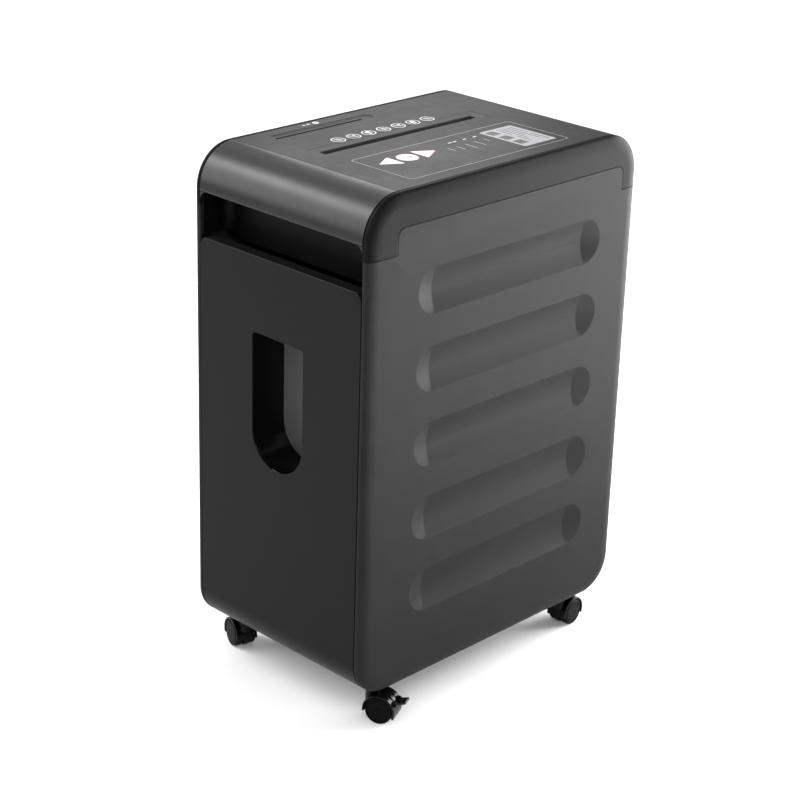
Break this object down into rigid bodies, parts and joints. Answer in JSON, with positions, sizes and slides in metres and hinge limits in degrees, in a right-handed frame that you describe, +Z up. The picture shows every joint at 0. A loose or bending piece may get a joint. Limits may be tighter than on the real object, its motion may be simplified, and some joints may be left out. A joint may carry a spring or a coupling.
{
  "type": "paper shredder",
  "caption": "Upright office paper shredder on twin-wheel casters, with a pull-out waste bin with a window, a paper slot, a CD slot and a push-button panel on top.",
  "frame": {"origin": "on the floor, below the centre of the body", "axes": "+Z up, -Y towards the front with the bin, +X towards the side with the control panel"},
  "size_m": [0.2808, 0.4, 0.583],
  "materials": {
    "side_shell": "satin black moulded plastic with a fine spark-eroded grain",
    "top_cover": "fine matte grained black plastic",
    "fascia": "semi-gloss black plastic",
    "bin_front": "satin black plastic",
    "inner_plastic": "plain dark plastic",
    "gloss_black": "glossy black plastic",
    "smoked_pane": "smoked clear plastic",
    "panel_film": "printed polyester film",
    "icon_white": "white plastic, lit from behind",
    "circuit_board": "green solder mask",
    "zinc_steel": "zinc-plated steel",
    "cutter_steel": "oiled hardened steel",
    "nylon_gear": "natural nylon",
    "bronze_bush": "sintered bronze",
    "winding": "enamelled copper wire on a steel shaft",
    "caster_plastic": "black nylon",
    "caster_tread": "black moulded wheel"
  },
  "bodies": {
    "cabinet": {"left_side_panel": "side_shell", "right_side_panel": "side_shell", "back_panel": "side_shell", "base_pan": "inner_plastic", "hand_recess_shell": "inner_plastic", "cable_gland": "gloss_black", "bin_switch": "gloss_black", "head_top_cover": "top_cover", "head_front_fascia": "fascia", "head_left_cheek": "fascia", "head_right_cheek": "fascia", "paper_throat": "top_cover", "cd_throat": "top_cover", "control_panel": "panel_film", "control_board": "circuit_board", "head_deck": "inner_plastic", "deck_screws": "zinc_steel", "front_end_plate": "zinc_steel", "rear_end_plate": "zinc_steel", "plate_tie_rods": "zinc_steel", "shaft_bushes": "bronze_bush", "stripper_comb_left": "inner_plastic", "stripper_comb_right": "inner_plastic", "motor_case": "zinc_steel"},
    "bin": {"bin_front_panel": "bin_front", "bin_body": "inner_plastic", "bin_window_tunnel": "gloss_black", "bin_window_pane": "smoked_pane"},
    "reverse_button": {"button_reverse": "icon_white"},
    "power_button": {"button_power": "icon_white"},
    "forward_button": {"button_forward": "icon_white"},
    "cutter_right": {"paper_cutter_right": "cutter_steel", "sync_gear_right": "cutter_steel", "drive_gear": "cutter_steel"},
    "cutter_left": {"paper_cutter_left": "cutter_steel", "sync_gear_left": "cutter_steel"},
    "cd_inner": {"cd_cutter_inner": "cutter_steel", "cd_cluster_gear": "cutter_steel"},
    "cd_outer": {"cd_cutter_outer": "cutter_steel", "cd_sync_gear": "cutter_steel"},
    "step": {"step_gear": "nylon_gear"},
    "rotor": {"motor_rotor": "winding"},
    "front_right_swivel": {"front_right_hood": "caster_plastic", "front_right_axle": "zinc_steel"},
    "front_right_outer": {"front_right_wheel_outer": "caster_tread"},
    "front_right_inner": {"front_right_wheel_inner": "caster_tread"},
    "front_right_brake": {"front_right_brake_lever": "caster_plastic"},
    "front_left_swivel": {"front_left_hood": "caster_plastic", "front_left_axle": "zinc_steel"},
    "front_left_outer": {"front_left_wheel_outer": "caster_tread"},
    "front_left_inner": {"front_left_wheel_inner": "caster_tread"},
    "rear_right_swivel": {"rear_right_hood": "caster_plastic", "rear_right_axle": "zinc_steel"},
    "rear_right_outer": {"rear_right_wheel_outer": "caster_tread"},
    "rear_right_inner": {"rear_right_wheel_inner": "caster_tread"},
    "rear_left_swivel": {"rear_left_hood": "caster_plastic", "rear_left_axle": "zinc_steel"},
    "rear_left_outer": {"rear_left_wheel_outer": "caster_tread"},
    "rear_left_inner": {"rear_left_wheel_inner": "caster_tread"},
    "rear_left_brake": {"rear_left_brake_lever": "caster_plastic"}
  },
  "joints": [
    {"name": "bin_slide", "type": "slide", "parent": "cabinet", "child": "bin", "axis": [0, -1, 0], "range_m": [0, 0.34]},
    {"name": "reverse_press", "type": "slide", "parent": "cabinet", "child": "reverse_button", "axis": [0, 0, -1], "range_m": [0, 0.0008], "stiffness_N_per_m": 600, "springref_m": -0.001},
    {"name": "power_press", "type": "slide", "parent": "cabinet", "child": "power_button", "axis": [0, 0, -1], "range_m": [0, 0.0008], "stiffness_N_per_m": 600, "springref_m": -0.001},
    {"name": "forward_press", "type": "slide", "parent": "cabinet", "child": "forward_button", "axis": [0, 0, -1], "range_m": [0, 0.0008], "stiffness_N_per_m": 600, "springref_m": -0.001},
    {"name": "cutter_right_spin", "type": "hinge", "parent": "cabinet", "child": "cutter_right", "pos_m": [-0.006, 0, 0.54], "axis": [0, 1, 0], "continuous": true},
    {"name": "cutter_left_spin", "type": "hinge", "parent": "cabinet", "child": "cutter_left", "pos_m": [-0.042, 0, 0.54], "axis": [0, 1, 0], "continuous": true},
    {"name": "cd_inner_spin", "type": "hinge", "parent": "cabinet", "child": "cd_inner", "pos_m": [-0.085, 0, 0.54], "axis": [0, 1, 0], "continuous": true},
    {"name": "cd_outer_spin", "type": "hinge", "parent": "cabinet", "child": "cd_outer", "pos_m": [-0.105, 0, 0.54], "axis": [0, 1, 0], "continuous": true},
    {"name": "step_spin", "type": "hinge", "parent": "cabinet", "child": "step", "pos_m": [0.03493, 0, 0.53058], "axis": [0, 1, 0], "continuous": true},
    {"name": "rotor_spin", "type": "hinge", "parent": "cabinet", "child": "rotor", "pos_m": [0.064, 0, 0.538], "axis": [0, 1, 0], "continuous": true},
    {"name": "front_right_swivel_turn", "type": "hinge", "parent": "cabinet", "child": "front_right_swivel", "pos_m": [0.1015, -0.154, 0.05], "axis": [0, 0, 1], "continuous": true},
    {"name": "front_right_outer_roll", "type": "hinge", "parent": "front_right_swivel", "child": "front_right_outer", "pos_m": [0.11155, -0.14953, 0.015], "axis": [-0.4067, 0.9135, 0], "continuous": true},
    {"name": "front_right_inner_roll", "type": "hinge", "parent": "front_right_swivel", "child": "front_right_inner", "pos_m": [0.11155, -0.14953, 0.015], "axis": [-0.4067, 0.9135, 0], "continuous": true},
    {"name": "front_right_brake_press", "type": "hinge", "parent": "front_right_swivel", "child": "front_right_brake", "pos_m": [0.12799, -0.1422, 0.025], "axis": [-0.4067, 0.9135, 0], "range_deg": [0, 20]},
    {"name": "front_left_swivel_turn", "type": "hinge", "parent": "cabinet", "child": "front_left_swivel", "pos_m": [-0.1015, -0.154, 0.05], "axis": [0, 0, 1], "continuous": true},
    {"name": "front_left_outer_roll", "type": "hinge", "parent": "front_left_swivel", "child": "front_left_outer", "pos_m": [-0.11199, -0.15067, 0.015], "axis": [-0.3024, -0.9532, 0], "continuous": true},
    {"name": "front_left_inner_roll", "type": "hinge", "parent": "front_left_swivel", "child": "front_left_inner", "pos_m": [-0.11199, -0.15067, 0.015], "axis": [-0.3024, -0.9532, 0], "continuous": true},
    {"name": "rear_right_swivel_turn", "type": "hinge", "parent": "cabinet", "child": "rear_right_swivel", "pos_m": [0.1015, 0.149, 0.05], "axis": [0, 0, 1], "continuous": true},
    {"name": "rear_right_outer_roll", "type": "hinge", "parent": "rear_right_swivel", "child": "rear_right_outer", "pos_m": [0.10035, 0.15994, 0.015], "axis": [-0.9945, -0.1045, 0], "continuous": true},
    {"name": "rear_right_inner_roll", "type": "hinge", "parent": "rear_right_swivel", "child": "rear_right_inner", "pos_m": [0.10035, 0.15994, 0.015], "axis": [-0.9945, -0.1045, 0], "continuous": true},
    {"name": "rear_left_swivel_turn", "type": "hinge", "parent": "cabinet", "child": "rear_left_swivel", "pos_m": [-0.1015, 0.149, 0.05], "axis": [0, 0, 1], "continuous": true},
    {"name": "rear_left_outer_roll", "type": "hinge", "parent": "rear_left_swivel", "child": "rear_left_outer", "pos_m": [-0.11155, 0.14453, 0.015], "axis": [0.4067, -0.9135, 0], "continuous": true},
    {"name": "rear_left_inner_roll", "type": "hinge", "parent": "rear_left_swivel", "child": "rear_left_inner", "pos_m": [-0.11155, 0.14453, 0.015], "axis": [0.4067, -0.9135, 0], "continuous": true},
    {"name": "rear_left_brake_press", "type": "hinge", "parent": "rear_left_swivel", "child": "rear_left_brake", "pos_m": [-0.12799, 0.1372, 0.025], "axis": [0.4067, -0.9135, 0], "range_deg": [0, 20]}
  ],
  "couplings": [
    {"joint": "cutter_left_spin", "follows": "cutter_right_spin", "ratio": -1},
    {"joint": "cd_inner_spin", "follows": "cutter_right_spin", "ratio": 0.72},
    {"joint": "cd_outer_spin", "follows": "cutter_right_spin", "ratio": -0.72},
    {"joint": "step_spin", "follows": "cutter_right_spin", "ratio": -2},
    {"joint": "rotor_spin", "follows": "cutter_right_spin", "ratio": 4.8571}
  ]
}
